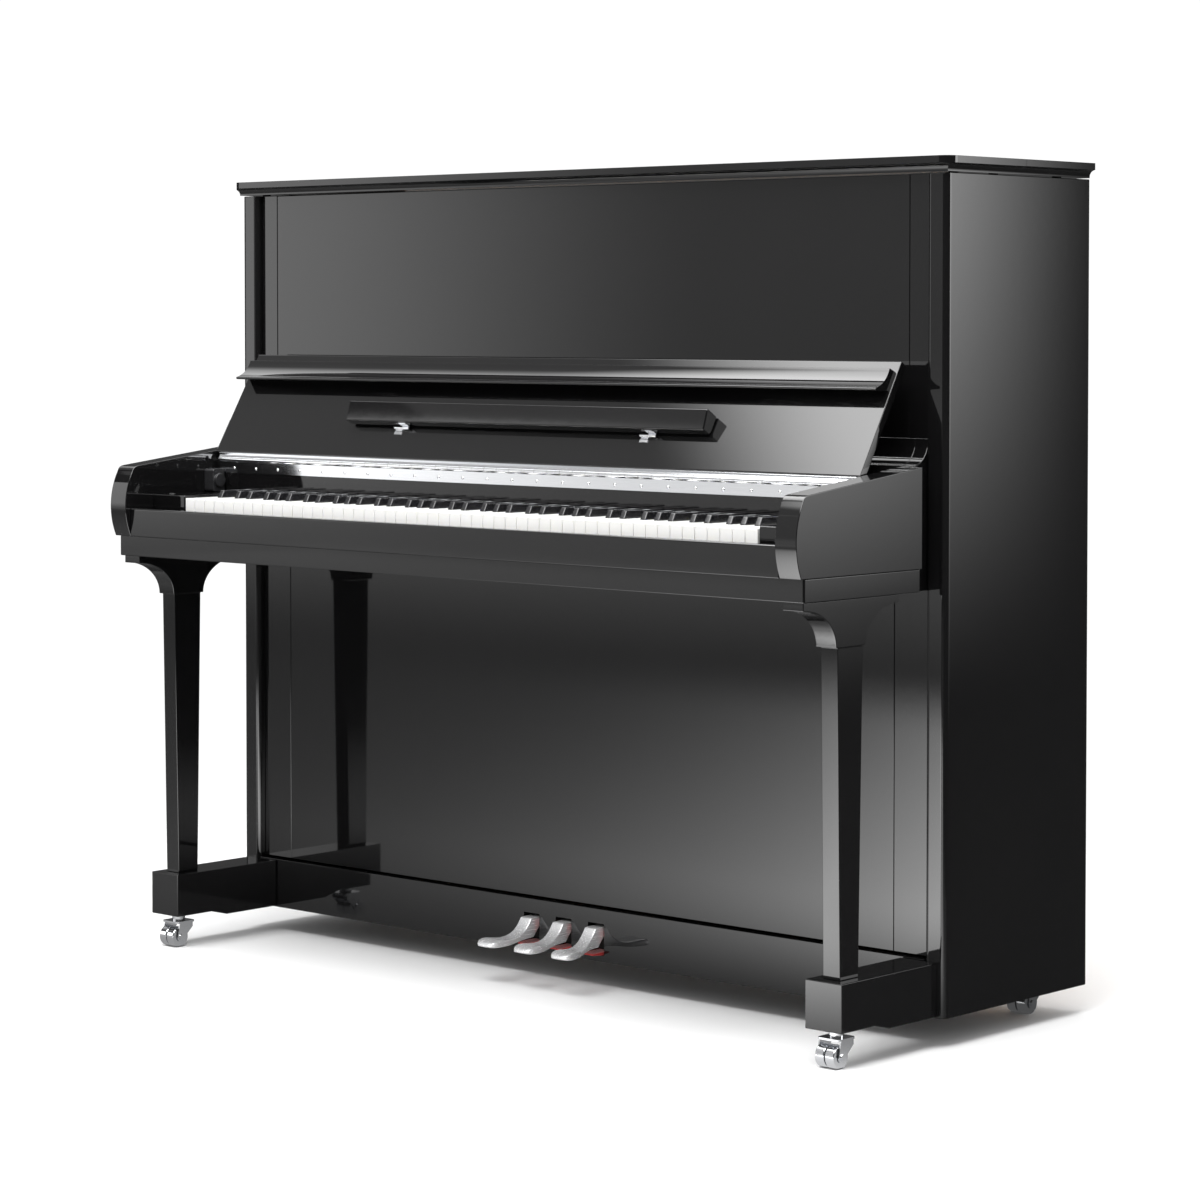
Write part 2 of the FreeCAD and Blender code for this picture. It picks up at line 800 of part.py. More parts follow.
def arm():
    """A cheek with a swelling front and a top line that sweeps up to the case."""
    y0 = front
    y1 = case_front - arm_back_gap
    start, middle, end = cove_arc()
    shoulder = (y0 + arm_shoulder, arm_top_front)
    nose_top = (y0 + arm_nose_fall, arm_top_front - 10.0)
    nose_low = (y0 + arm_bulge, keybed_top)
    reach = math.sqrt(arm_bulge / arm_nose_fall)
    nose_mid = (y0, keybed_top + (nose_top[1] - keybed_top) * reach / (1 + reach))
    run = (start[0] - shoulder[0], start[1] - shoulder[1])
    share = (y1 - shoulder[0]) / run[0]
    heel = (y1, shoulder[1] + run[1] * share)
    corner = [nose_top, (y0 + 17.5, arm_top_front - 3.0), (y0 + 21.0, arm_top_front - 1.0), shoulder]
    if share > 1.0:
        heel = start
        y1 = start[0]
    outer = curved_slab([[nose_low, nose_mid, nose_top], corner, [shoulder, heel],
                         [heel, (y1, keybed_top)], [(y1, keybed_top), nose_low]],
                        half_well, half_arm)
    y2 = case_front + upper_recess
    inner = curved_slab([[(y1 - 60, keybed_top), shoulder], [shoulder, start], [start, middle, end],
                         [end, (y2, arm_top_back)], [(y2, arm_top_back), (y2, keybed_top)],
                         [(y2, keybed_top), (y1 - 60, keybed_top)]],
                        half_well, half_inner - gap)
    return joined([outer, inner])


# ---------------------------------------------------------------- legs and toes
def leg():
    """A bracket head with two hollow curves over a thin tapered shaft, glued up as one."""
    x1 = half_case - capital_inset
    x0 = x1 - capital_thickness
    y0 = front + capital_front
    y1 = y0 + capital_length
    z1 = keybed_bottom
    z0 = z1 - capital_height
    zb = z1 - capital_band
    n0 = front + neck_front
    n1 = n0 + neck_length
    k = 0.5523
    rise = zb - z0
    front_curve = [(y0, zb), (y0 + (n0 - y0) * k, zb), (n0, z0 + rise * k), (n0, z0)]
    back_curve = [(n1, z0), (n1, z0 + rise * k), (y1 - (y1 - n1) * k, zb), (y1, zb)]
    head = curved_slab([front_curve, [(n0, z0), (n1, z0)], back_curve, [(y1, zb), (y1, z1)],
                        [(y1, z1), (y0, z1)], [(y0, z1), (y0, zb)]], x0, x1)
    s1 = half_case - shaft_inset
    s0 = s1 - shaft_thickness
    f0 = front + shaft_front
    shaft = slab([(f0, z0), (f0 + shaft_top, z0), (f0 + shaft_taper + shaft_bottom, toe_top),
                  (f0 + shaft_taper, toe_top)], s0, s1)
    return joined([head, shaft])


def toe_block():
    """The foot under the leg, running back to the case, with a bore for its caster."""
    x1 = half_case - toe_inset
    y0 = front + toe_setback
    flat = y0 + toe_flat
    outline = [(y0, toe_bottom), (y0, toe_top), (case_front, toe_top), (case_front, toe_heel),
               (flat + toe_ramp, toe_heel), (flat, toe_bottom)]
    block = slab(outline, x1 - toe_thickness, x1)
    block = block.makeFillet(1.5, edges_along(block, vec(0, 0, 1), lambda p: p.y < y0 + 1))
    return block.cut(caster_bore(*front_caster()))


# ---------------------------------------------------------------- casters
def front_caster():
    return half_case - front_caster_inset, front + toe_setback + front_caster_setback


def rear_caster():
    return half_case - rear_caster_inset, back - rear_caster_gap


def caster_bore(x, y):
    return rod(stem_radius + running, (x, y, toe_bottom - 1), (x, y, toe_bottom + stem_length + 2))


def caster_fork(x, y):
    """A pressed fork over the twin wheels, with its collar, stem and axle."""
    half = fork_plate / 2
    roof = box(x - half, x + half, y - half, y + half, fork_top - fork_roof, fork_top)
    roof = roof.makeFillet(6.0, edges_along(roof, vec(0, 0, 1), lambda p: True))
    axle_y = y - caster_trail
    cheek = curved_slab([[(y - half + 6, fork_top - 1), (axle_y - 8, wheel_radius)],
                         [(axle_y - 8, wheel_radius), (axle_y, wheel_radius - 8),
                          (axle_y + 8, wheel_radius)],
                         [(axle_y + 8, wheel_radius), (y + half - 6, fork_top - 10)],
                         [(y + half - 6, fork_top - 10), (y + half - 6, fork_top - 1)],
                         [(y + half - 6, fork_top - 1), (y - half + 6, fork_top - 1)]],
                        x + half - fork_wall, x + half)
    other = cheek.copy()
    other.translate(vec(fork_wall - fork_plate, 0, 0))
    axle = rod(axle_radius, (x - half - 1.5, axle_y, wheel_radius),
               (x + half + 1.5, axle_y, wheel_radius))
    nuts = [rod(5.0, (x + half, axle_y, wheel_radius), (x + half + 1.6, axle_y, wheel_radius)),
            rod(5.0, (x - half - 1.6, axle_y, wheel_radius), (x - half, axle_y, wheel_radius))]
    collar = rod(collar_radius, (x, y, fork_top), (x, y, toe_bottom - gap))
    stem = rod(stem_radius, (x, y, fork_top), (x, y, toe_bottom + stem_length))
    return joined([roof, cheek, other, axle, collar, stem] + nuts)


def caster_wheel(x, y):
    """Twin wheels on one hub, turning on the fork's axle."""
    axle_y = y - caster_trail
    pair = []
    for side in (-1, 1):
        inner = x + side * wheel_gap / 2
        outer = inner + side * wheel_width
        low, high = min(inner, outer), max(inner, outer)
        tyre = rod(wheel_radius, (low, axle_y, wheel_radius), (high, axle_y, wheel_radius))
        rims = [edge for edge in tyre.Edges if edge.Curve.TypeId == "Part::GeomCircle"]
        pair.append(tyre.makeFillet(1.5, rims))
    pair.append(rod(wheel_hub, (x - wheel_gap, axle_y, wheel_radius),
                    (x + wheel_gap, axle_y, wheel_radius)))
    bore = rod(axle_radius + running, (x - fork_plate, axle_y, wheel_radius),
               (x + fork_plate, axle_y, wheel_radius))
    return joined(pair).cut(bore)


# ---------------------------------------------------------------- pedals
def pedal_places():
    return [-pedal_pitch, 0.0, pedal_pitch]


def smooth_line(points):
    """One even curve through points."""
    curve = Part.BSplineCurve()
    curve.interpolate([vec(*point) for point in points])
    return curve.toShape()


def closed_face(edges):
    return Part.Face(Part.Wire(Part.sortEdges(edges)[0]))


def pedal(x):
    """A cast lever: a broad tip, a swan neck into the slot, and a straight tail past its pivot."""
    tip = case_front - pedal_reach
    splay = pedal_splay * x / pedal_pitch
    tail_end = case_front + pedal_pivot + pedal_tail
    step = case_front + plinth_recess + plinth_thickness
    top = [(0, tip + along, z) for along, z in pedal_top_line]
    low = [(0, tip + along, z) for along, z in pedal_low_line]
    corners = [top[-1], (0, top[-1][1] + 5.0, pedal_tail_top), (0, tail_end, pedal_tail_top),
               (0, tail_end, pedal_tail_low), (0, step - 2.0, pedal_tail_low),
               (0, step - 7.0, low[0][2]), low[0]]
    straight = [Part.makeLine(vec(*a), vec(*b)) for a, b in zip(corners, corners[1:])]
    nose = Part.makeLine(vec(*low[-1]), vec(*top[0]))
    wide = 2 * pedal_pitch
    side = closed_face([smooth_line(top), smooth_line(low), nose] + straight)
    side = side.extrude(vec(wide, 0, 0))
    side.translate(vec(x - wide / 2, 0, 0))
    right = [(x + share * splay + half, tip + along, 0) for along, half, share in pedal_plan]
    left = [(x + share * splay - half, tip + along, 0) for along, half, share in pedal_plan]
    square = [right[-1], (right[-1][0], tail_end + 1, 0), (left[-1][0], tail_end + 1, 0), left[-1]]
    back_edges = [Part.makeLine(vec(*a), vec(*b)) for a, b in zip(square, square[1:])]
    front_edge = Part.makeLine(vec(*left[0]), vec(*right[0]))
    plan = closed_face([smooth_line(right), smooth_line(left), front_edge] + back_edges)
    shape = side.common(plan.extrude(vec(0, 0, 2 * pedal_tail_top)))
    pivot_y = case_front + pedal_pivot
    ends = [(x + way * pedal_width, pivot_y, pedal_pivot_z) for way in (-1, 1)]
    return shape.cut(rod(pedal_pin + running, *ends))


def pedal_brackets():
    """Two cheeks and a pin for each pedal, standing on the bottom board."""
    made = []
    y = case_front + pedal_pivot
    z0 = floor_board_bottom + floor_board_thickness
    depth = pedal_cheek_depth / 2
    for x in pedal_places():
        inner = pedal_width / 2 + 1.0
        outer = inner + pedal_cheek
        cheeks = []
        for side in (-1, 1):
            a, b = sorted((x + side * inner, x + side * outer))
            cheeks.append(box(a, b, y - depth, y + depth, z0, pedal_pivot_z + depth))
        pin = rod(pedal_pin, (x - inner, y, pedal_pivot_z), (x + inner, y, pedal_pivot_z))
        made.append(joined(cheeks + [pin]))
    return made


def pedal_felts():
    """Red felt in the slots: a wedge under each pedal's neck and a strip on either side of it."""
    pads = []
    y0 = case_front + plinth_recess
    y1 = y0 + plinth_thickness - 2.0
    low = pedal_slot_bottom
    high = low + pedal_felt_thickness
    wedge = [(y0 - pedal_felt_reach, low + 2.0), (y0, low), (y1, low), (y1, high), (y0, high),
             (y0 - pedal_felt_reach, high - 1.0)]
    slot = pedal_width / 2 + pedal_slot_clearance
    for x in pedal_places():
        pads.append(slab(wedge, x - pedal_width / 2, x + pedal_width / 2))
        for side in (-1, 1):
            a, b = sorted((x + side * slot, x + side * (slot - side_felt_thickness)))
            pads.append(box(a, b, y0 + 2.0, y1, side_felt_low, side_felt_high))
    return pads


def trap_rod(x):
    """Upright dowel that carries a pedal's lift up to the action."""
    y = case_front + pedal_pivot + pedal_tail - rod_setback
    return rod(rod_radius, (x, y, pedal_tail_top + rod_gap), (x, y, keybed_bottom - rod_top_gap))


# ---------------------------------------------------------------- keyboard
BLACK_AFTER = {0: -0.1, 1: 0.1, 3: -0.143, 4: 0.0, 5: 0.143}


def letter(index):
    """Scale step of a white key, C being 0; the lowest key is an A."""
    return (index + 5) % 7


def black_centre(index):
    """Where the black key after this white key lies, or None."""
    if letter(index) not in BLACK_AFTER or index + 1 >= white_count:
        return None
    boundary = -half_keys + (index + 1) * key_pitch
    return boundary + BLACK_AFTER[letter(index)] * key_pitch


def white_key(index):
    """A wide head, and a tail cut away for the black keys on either side."""
    x0 = -half_keys + index * key_pitch + key_gap / 2
    x1 = x0 + key_pitch - key_gap
    cut = black_width / 2 + black_clearance
    tail0, tail1 = x0, x1
    before = black_centre(index - 1) if index else None
    after = black_centre(index)
    if before is not None:
        tail0 = before + cut
    if after is not None:
        tail1 = after - cut
    split = key_front + black_start - 1.5
    head = box(x0, x1, key_front, split, key_bottom, key_top)
    tail = box(tail0, tail1, split, key_back, key_bottom, key_top)
    return joined([head, tail])


def black_key(index):
    """A narrow stick with an ebony top that slopes down in front."""
    x = black_centre(index)
    y0 = key_front + black_start
    y1 = nameboard_face - 2.0
    stick = box(x - black_width / 2, x + black_width / 2, y0, key_back, key_bottom, key_top)
    base = Part.makePolygon([vec(x - black_width / 2, y0, key_top), vec(x + black_width / 2, y0, key_top),
                             vec(x + black_width / 2, y1, key_top), vec(x - black_width / 2, y1, key_top),
                             vec(x - black_width / 2, y0, key_top)])
    z = key_top + black_rise
    t = black_top_width / 2
    top = Part.makePolygon([vec(x - t, y0 + black_slope, z), vec(x + t, y0 + black_slope, z),
                            vec(x + t, y1, z), vec(x - t, y1, z), vec(x - t, y0 + black_slope, z)])
    cap = Part.makeLoft([base, top], True, True)
    return joined([stick, cap])


def key_frame():
    """Three rails under the keys: front, balance and back."""
    half = half_keys - 2
    return [box(-half, half, key_front + 8, key_front + 48, keybed_top, key_bottom - 14),
            box(-half, half, balance_y - 15, balance_y + 15, keybed_top, key_bottom - 1.5),
            box(-half, half, key_back - 32, key_back - 2, keybed_top, key_bottom - 1.5)]


# ---------------------------------------------------------------- action and strings
def note_x(note):
    return -half_keys + (note + 0.5) * hammer_pitch


def hammer(note):
    """Felt head, shank and butt of one hammer, at rest in front of its string."""
    x = note_x(note)
    y = action_y
    z = butt_z
    butt = box(x - butt_width / 2, x + butt_width / 2, y - butt_depth / 2, y + butt_depth / 2,
               z - butt_below, z + butt_above)
    top = z + shank_length
    shank = rod(shank_radius, (x, y, z + butt_below), (x, y, top))
    half = head_height / 2
    tail = y - head_length / 2
    nose = y + head_length / 2 + 2
    head = curved_slab([[(tail, top - half), (nose - head_point, top - half)],
                        [(nose - head_point, top - half), (nose, top), (nose - head_point, top + half)],
                        [(nose - head_point, top + half), (tail, top + half)],
                        [(tail, top + half), (tail, top - half)]],
                       x - head_width / 2, x + head_width / 2)
    return joined([butt, shank, head])


def action_frame():
    """Two end brackets with the hammer rest rail and the main rail between them."""
    half = half_keys + bracket_overhang
    y = action_y
    rest = box(-half, half, y - rest_rail_front, y - rest_rail_back,
               butt_z + rest_rail_low, butt_z + rest_rail_high)
    main = box(-half, half, y + main_rail_front, y + bracket_rear,
               butt_z - main_rail_low, butt_z + main_rail_high)
    outline = [(y - bracket_front, butt_z - bracket_foot), (y + bracket_rear, butt_z - bracket_foot),
               (y + bracket_rear, butt_z + bracket_head / 2), (y, butt_z + bracket_head),
               (y - bracket_front, butt_z + bracket_head)]
    return [rest, main] + both(slab(outline, half, half + bracket_thickness))


def soundboard():
    """Spruce board with diagonal ribs behind it and two bridges in front."""
    half = half_inner - board_edge_gap
    z0, z1 = inside_bottom - board_lap, inside_top - plate_border / 3
    height = z1 - z0
    limits = box(-half + rib_end_gap, half - rib_end_gap, board_back, rib_back,
                 z0 + rib_end_gap, z1 - rib_end_gap)
    pieces = [box(-half, half, board_face, board_back, z0, z1)]
    for index in range(rib_count):
        along = (index - (rib_count - 1) / 2) * 2 * half / (rib_count - 0.5)
        bar = box(-2 * half, 2 * half, board_back, rib_back, -rib_width / 2, rib_width / 2)
        bar.rotate(vec(0, 0, 0), vec(0, 1, 0), rib_angle)
        bar.translate(vec(along, 0, (z0 + z1) / 2))
        pieces.append(bar.common(limits))
    for (xa, za), (xm, zm), (xb, zb) in (bass_bridge_line, treble_bridge_line):
        pieces.append(bridge((half * xa, z0 + height * za), (half * xm, z0 + height * zm),
                             (half * xb, z0 + height * zb)))
    return pieces


def bridge(a, m, b):
    """A curved bar standing on the board up to just behind the strings."""
    w = bridge_width / 2
    y = string_y + 1.6
    outer = Part.Arc(vec(a[0], y, a[1] + w), vec(m[0], y, m[1] + w), vec(b[0], y, b[1] + w)).toShape()
    inner = Part.Arc(vec(a[0], y, a[1] - w), vec(m[0], y, m[1] - w), vec(b[0], y, b[1] - w)).toShape()
    ends = [Part.makeLine(vec(b[0], y, b[1] + w), vec(b[0], y, b[1] - w)),
            Part.makeLine(vec(a[0], y, a[1] - w), vec(a[0], y, a[1] + w))]
    face = Part.Face(Part.Wire(Part.__sortEdges__([outer, ends[0], inner, ends[1]])))
    return face.extrude(vec(0, board_face - y, 0))


def iron_plate():
    """Cast frame: a border round the soundboard, and struts in front of the strings."""
    half = half_inner - 27
    z0, z1 = inside_bottom - 10, inside_top - beam_height / 2
    ring = box(-half, half, plate_face, plate_back, z0, z1)
    hole = box(-half + plate_border, half - plate_border, plate_face - 1, plate_back + 1,
               z0 + plate_border, z1 - plate_border * 2)
    ring = ring.cut(hole)
    count = int((half - plate_border) // strut_pitch)
    pieces = [ring]
    for index in range(-count, count + 1):
        x = index * strut_pitch
        pieces.append(box(x - strut_width / 2, x + strut_width / 2,
                          strut_face, strut_face + strut_depth, z0, z1))
    for low in (z0, z1 - 24):
        pieces.append(box(-half, half, strut_face, plate_face, low, low + 24))
    return joined(pieces)


def string_ends():
    z0 = inside_bottom - 10 + plate_border * 0.7
    z1 = inside_top - beam_height / 2 - plate_border * 1.5
    return z0, z1


def strings():
    """One steel string for each note, thick in the bass and thin in the treble."""
    low, high = string_ends()
    made = []
    for note in range(hammer_count):
        share = note / (hammer_count - 1)
        radius = 1.6 - 1.1 * min(1.0, share * 2.2)
        length = (high - low) * (1.0 - 0.62 * share)
        x = note_x(note)
        made.append(rod(radius, (x, string_y, high - length), (x, string_y, high)))
    return made


def tuning_pins():
    """Rows of steel pins standing out of the plate above the strings."""
    low, high = string_ends()
    made = []
    for note in range(hammer_count):
        row = note % 3
        z = high + 14 + row * 18
        made.append(rod(pin_radius, (note_x(note), plate_face - pin_length, z),
                        (note_x(note), plate_face, z)))
    return made


# ---------------------------------------------------------------- write every node
os.makedirs("parts", exist_ok=True)

save("side_panel_right", side_panel())
save("side_panel_left", mirrored(side_panel()))
save("back_frame", back_frame())
save("bottom_board", bottom_board())
save("plinth_rail", plinth_rail())
save("case_stiles", case_stiles())
save("upper_panel", upper_panel())
save("lower_panel", lower_panel())
save("lid_front", lid_front())
save("lid_rear", lid_rear())
save("hinge_leaves_fixed", [lid_hinge(0), fallboard_hinge_fixed()] + hinge_screws())
save("lid_hinge_moving", lid_hinge(1))
save("bumpers", bumpers())
save("keybed", keybed())
save("keybed_moulding", keybed_moulding())
save("key_slip", key_slip())
save("key_blocks", key_blocks())
save("arm_right", arm())
save("arm_left", mirrored(arm()))
save("leg_right", leg())
save("leg_left", mirrored(leg()))
save("toe_block_right", toe_block())
save("toe_block_left", mirrored(toe_block()))
save("nameboard_strip", nameboard_strip())
save("cove_rail", cove_rail())
save("fallboard_hinge_moving", fallboard_hinge_moving() + shelf_hinges())
save("fallboard", fallboard())
save("fallboard_lip", fallboard_lip())
save("music_shelf", music_shelf())
save("shelf_knuckles", shelf_knuckles())
save("soft_close_damper", soft_close_damper())
for name, x in zip(("left", "middle", "right"), pedal_places()):
    save("pedal_" + name, pedal(x))
    save("trap_rod_" + name, trap_rod(x))
save("pedal_brackets", pedal_brackets())
save("pedal_felts", pedal_felts())
for place, spot in (("front", front_caster()), ("rear", rear_caster())):
    for side, sign in (("left", -1), ("right", 1)):
        save("caster_fork_" + place + "_" + side, caster_fork(sign * spot[0], spot[1]))
        save("caster_wheels_" + place + "_" + side, caster_wheel(sign * spot[0], spot[1]))
save("key_frame", key_frame())
save("white_keys_bass", [white_key(i) for i in range(middle_c)])
save("middle_c_key", white_key(middle_c))
save("white_keys_treble", [white_key(i) for i in range(middle_c + 1, white_count)])
blacks = [i for i in range(white_count) if black_centre(i) is not None]
save("black_keys_bass", [black_key(i) for i in blacks if i < middle_c])
save("black_keys_treble", [black_key(i) for i in blacks if i >= middle_c])
save("action_frame", action_frame())
save("hammers", [hammer(n) for n in range(hammer_count) if n != hammer_note_c])
save("middle_c_hammer", hammer(hammer_note_c))
save("soundboard", soundboard())
save("iron_plate", iron_plate())
save("strings", strings())
save("tuning_pins", tuning_pins())
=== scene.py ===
import bmesh
import bpy
import json
from math import asin, cos, pi, radians, sin
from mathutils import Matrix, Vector

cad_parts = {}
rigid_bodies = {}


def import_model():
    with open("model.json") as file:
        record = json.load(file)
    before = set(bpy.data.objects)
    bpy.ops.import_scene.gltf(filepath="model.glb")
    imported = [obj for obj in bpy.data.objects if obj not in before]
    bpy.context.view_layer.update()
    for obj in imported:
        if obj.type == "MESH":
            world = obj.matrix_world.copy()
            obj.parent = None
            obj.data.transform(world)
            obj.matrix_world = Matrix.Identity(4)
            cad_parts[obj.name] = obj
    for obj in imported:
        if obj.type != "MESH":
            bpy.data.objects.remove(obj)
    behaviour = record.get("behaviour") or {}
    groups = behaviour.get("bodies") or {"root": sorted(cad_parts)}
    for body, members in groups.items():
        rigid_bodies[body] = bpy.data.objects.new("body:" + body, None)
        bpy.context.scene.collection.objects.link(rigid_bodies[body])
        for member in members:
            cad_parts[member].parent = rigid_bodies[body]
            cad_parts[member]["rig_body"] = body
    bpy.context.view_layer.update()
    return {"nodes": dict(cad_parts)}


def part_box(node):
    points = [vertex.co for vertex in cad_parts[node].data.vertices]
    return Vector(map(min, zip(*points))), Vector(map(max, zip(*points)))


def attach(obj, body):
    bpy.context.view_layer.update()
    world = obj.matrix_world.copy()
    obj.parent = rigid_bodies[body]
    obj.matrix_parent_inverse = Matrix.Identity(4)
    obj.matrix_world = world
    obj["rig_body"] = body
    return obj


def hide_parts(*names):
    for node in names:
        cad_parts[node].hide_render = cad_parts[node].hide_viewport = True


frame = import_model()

nodes = frame["nodes"]

# ------------------------------------------------------------------ back frame and bottom board
# Five softwood posts between a top and a bottom beam, planed and clear lacquered, so the grain shows.
# The bottom board and the key frame are stained black. Every edge is eased with a plane.


class Tap:
    """A value in a finish. Sums, products and powers of taps add their Math nodes."""

    def __init__(self, finish, socket):
        self.finish = finish
        self.socket = socket

    def sum_of(self, operation, first, second):
        return self.finish.add("ShaderNodeMath", {"operation": operation}, {0: first, 1: second})

    def __add__(self, other):
        return self.sum_of("ADD", self, other)

    def __radd__(self, other):
        return self.sum_of("ADD", other, self)

    def __sub__(self, other):
        return self.sum_of("SUBTRACT", self, other)

    def __rsub__(self, other):
        return self.sum_of("SUBTRACT", other, self)

    def __mul__(self, other):
        return self.sum_of("MULTIPLY", self, other)

    def __rmul__(self, other):
        return self.sum_of("MULTIPLY", other, self)

    def __rpow__(self, other):
        return self.sum_of("POWER", other, self)

    def __lt__(self, other):
        return self.sum_of("LESS_THAN", self, other)

    def __gt__(self, other):
        return self.sum_of("GREATER_THAN", self, other)


class Finish:
    """A surface finish: a Principled shader, what is fixed on it, and the nodes that vary it."""

    def __init__(self, name, fixed):
        self.material = bpy.data.materials.new(name)
        self.material.use_nodes = True
        self.tree = self.material.node_tree
        self.shader = self.tree.nodes["Principled BSDF"]
        for socket, value in fixed.items():
            self.shader.inputs[socket].default_value = value

    def add(self, kind, settings=None, values=None, out=0):
        """Add a node: its settings, then the values or taps of its sockets. Gives one of its outputs."""
        node = self.tree.nodes.new(kind)
        for name, value in (settings or {}).items():
            setattr(node, name, value)
        for socket, value in (values or {}).items():
            if isinstance(value, Tap):
                self.tree.links.new(value.socket, node.inputs[socket])
            else:
                node.inputs[socket].default_value = value
        return Tap(self, node.outputs[out])

    def place(self, stretch=(1.0, 1.0, 1.0), turn=(0.0, 0.0, 0.0)):
        """Object coordinates, stretched or turned for a grain."""
        where = self.add("ShaderNodeTexCoord", out="Object")
        return self.add("ShaderNodeMapping", {}, {"Vector": where, "Scale": stretch, "Rotation": turn})

    def noise(self, where, scale, detail=2.0, rough=0.5):
        return self.add("ShaderNodeTexNoise", {}, {"Vector": where, "Scale": scale, "Detail": detail,
                                                   "Roughness": rough})

    def between(self, share, first, second):
        """A colour between two others; `share` runs from 0 to 1."""
        ends = {6: first if isinstance(first, Tap) else (*first, 1.0),
                7: second if isinstance(second, Tap) else (*second, 1.0)}
        return self.add("ShaderNodeMix", {"data_type": "RGBA"}, {0: share, **ends}, out=2)

    def within(self, value, low, high, to_low=0.0, to_high=1.0):
        return self.add("ShaderNodeMapRange", {"clamp": True, "interpolation_type": "SMOOTHSTEP"},
                        {0: value, 1: low, 2: high, 3: to_low, 4: to_high})

    def lay(self, colour, roughness, height, depth):
        """Join what varies to the shader: colour, roughness, and a height for its bump."""
        self.tree.links.new(colour.socket, self.shader.inputs["Base Color"])
        self.tree.links.new(roughness.socket, self.shader.inputs["Roughness"])
        bump = self.add("ShaderNodeBump", {}, {"Height": height, "Distance": depth, "Strength": 1.0})
        self.tree.links.new(bump.socket, self.shader.inputs["Normal"])
        return self.material


def timber(name, along, pale, dark, gloss, beams=None):
    """Planed softwood: long grain, growth rings across it, pores and a thin lacquer.

    The grain runs along one axis, and along X below and above the two heights in `beams`.
    """
    finish = Finish(name, {"Coat Weight": gloss, "Coat Roughness": 0.22, "Specular IOR Level": 0.45})
    if beams:
        seam = 0.0002
        height = finish.add("ShaderNodeSeparateXYZ", {}, {0: finish.place()}, out=2)
        in_beam = (finish.within(height, beams[0] + seam, beams[0])
                   + finish.within(height, beams[1], beams[1] + seam))

    def grain(long, cross):
        stretch = [cross, cross, cross]
        stretch["xyz".index(along)] = long
        upright = finish.place(tuple(stretch))
        if not beams:
            return upright
        level = finish.place((long, cross, cross), (0.0, radians(90), 0.0))
        return finish.add("ShaderNodeMix", {"data_type": "VECTOR"}, {0: in_beam, 4: upright, 5: level}, out=1)

    rings_wave = finish.add("ShaderNodeTexWave", {"wave_type": "RINGS", "rings_direction": along.upper(),
                                                  "wave_profile": "SAW"},
                            {"Vector": grain(0.7, 9.0), "Scale": 1.1, "Distortion": 2.6, "Detail": 2.0,
                             "Detail Scale": 0.8})
    pores = finish.noise(grain(5.0, 260.0), 1.0, 3.0, 0.6)
    cloud = finish.noise(finish.place(), 2.3, 2.0)
    share = 0.55 * rings_wave + 0.3 * pores + 0.3 * cloud
    colour = finish.between(finish.within(share, 0.25, 0.95), pale, dark)
    rough = 0.36 + 0.2 * pores
    return finish.lay(colour, rough, pores, 0.00012)


def dress(finish, *node_names):
    """Give CAD pieces that keep their shape their finish."""
    for node_name in node_names:
        for place in nodes[node_name].material_slots:
            place.material = finish


def build(name, shape, finish):
    """A linked object in one finish, made from a bmesh."""
    mesh = bpy.data.meshes.new(name)
    shape.to_mesh(mesh)
    shape.free()
    piece = bpy.data.objects.new(name, mesh)
    bpy.context.scene.collection.objects.link(piece)
    mesh.materials.append(finish)
    return piece


def shade_evenly(piece, weight, keep_sharp=False):
    """Shade by face area, so that broad faces stay flat beside their rounded edges."""
    even = piece.modifiers.new("Even shading", "WEIGHTED_NORMAL")
    even.keep_sharp = keep_sharp
    even.weight = weight


def stand_for(piece, node_name):
    """Let a piece ride and stand for a CAD node, on that node's body."""
    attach(piece, nodes[node_name]["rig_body"])
    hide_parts(node_name)


def soften(node_name, finish, radius, segments=3, sharp=28.0):
    """A copy of a CAD piece with its edges rounded over, which stands for it on the same body."""
    shape = bmesh.new()
    shape.from_mesh(nodes[node_name].data)
    bmesh.ops.remove_doubles(shape, verts=shape.verts, dist=0.00001)
    bmesh.ops.dissolve_limit(shape, angle_limit=radians(0.6), verts=shape.verts, edges=shape.edges,
                             delimit={"NORMAL"})
    crisp = [edge for edge in shape.edges
             if len(edge.link_faces) == 2 and edge.calc_face_angle() > radians(sharp)]
    bmesh.ops.bevel(shape, geom=crisp, offset=radius, offset_type="OFFSET", segments=segments,
                    profile=0.5, affect="EDGES", clamp_overlap=True, material=-1)
    for face in shape.faces:
        face.smooth = True
    piece = build("finished_" + node_name, shape, finish)
    shade_evenly(piece, 60, keep_sharp=True)
    stand_for(piece, node_name)


post_timber = timber("planed_pine", "z", (0.56, 0.36, 0.185), (0.36, 0.19, 0.085), 0.35, (0.1206, 1.187))
soften("back_frame", post_timber, 0.0025, 2)
stained = Finish("black_stained_board", {"Specular IOR Level": 0.3})
stain_wear = stained.noise(stained.place((3.0, 60.0, 60.0)), 1.0, 3.0, 0.6)
black_stain = stained.lay(stained.between(stain_wear, (0.010, 0.009, 0.009), (0.022, 0.020, 0.018)),
                          0.5 + 0.2 * stain_wear, stain_wear, 0.00008)
soften("bottom_board", black_stain, 0.0015, 2)
soften("key_frame", black_stain, 0.001, 1)

